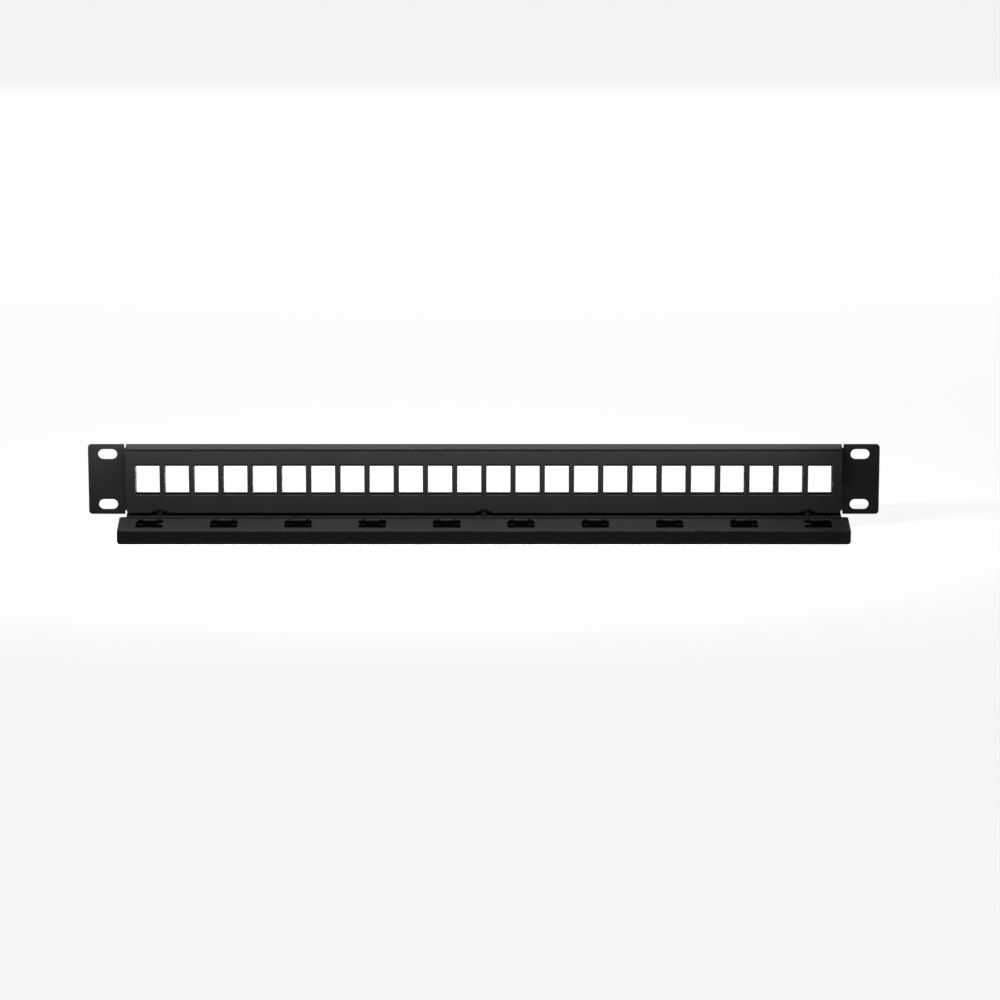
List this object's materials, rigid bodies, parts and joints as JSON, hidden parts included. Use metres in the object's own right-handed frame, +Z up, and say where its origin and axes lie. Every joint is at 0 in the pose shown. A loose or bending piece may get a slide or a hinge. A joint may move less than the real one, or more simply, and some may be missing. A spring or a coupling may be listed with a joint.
{
  "type": "patch panel",
  "caption": "Flat-fronted 19-inch rack panel, one unit high, with a row of empty keystone openings, slotted ears and a perforated cable tray behind.",
  "frame": {"origin": "middle of the plane in which the rear faces of both ears meet the rack rails", "axes": "+X along the panel, +Y out of the front of the rack, +Z up"},
  "size_m": [0.4826, 0.0367, 0.053],
  "materials": {
    "panel_powder_coat": "fine-textured matt black powder coat on steel",
    "channel_powder_coat": "fine-textured matt black powder coat on steel",
    "tray_powder_coat": "fine-textured matt black powder coat on steel",
    "standoff_coat": "powder coat over a pressed-in steel sleeve",
    "black_zinc": "black zinc plating, satin"
  },
  "bodies": {
    "root": {"front_panel": "panel_powder_coat", "retaining_channel": "channel_powder_coat", "cable_tray": "tray_powder_coat", "clinch_standoff_left": "standoff_coat", "clinch_standoff_centre": "standoff_coat", "clinch_standoff_right": "standoff_coat", "tray_screw_left": "black_zinc", "tray_screw_centre": "black_zinc", "tray_screw_right": "black_zinc"}
  },
  "joints": []
}
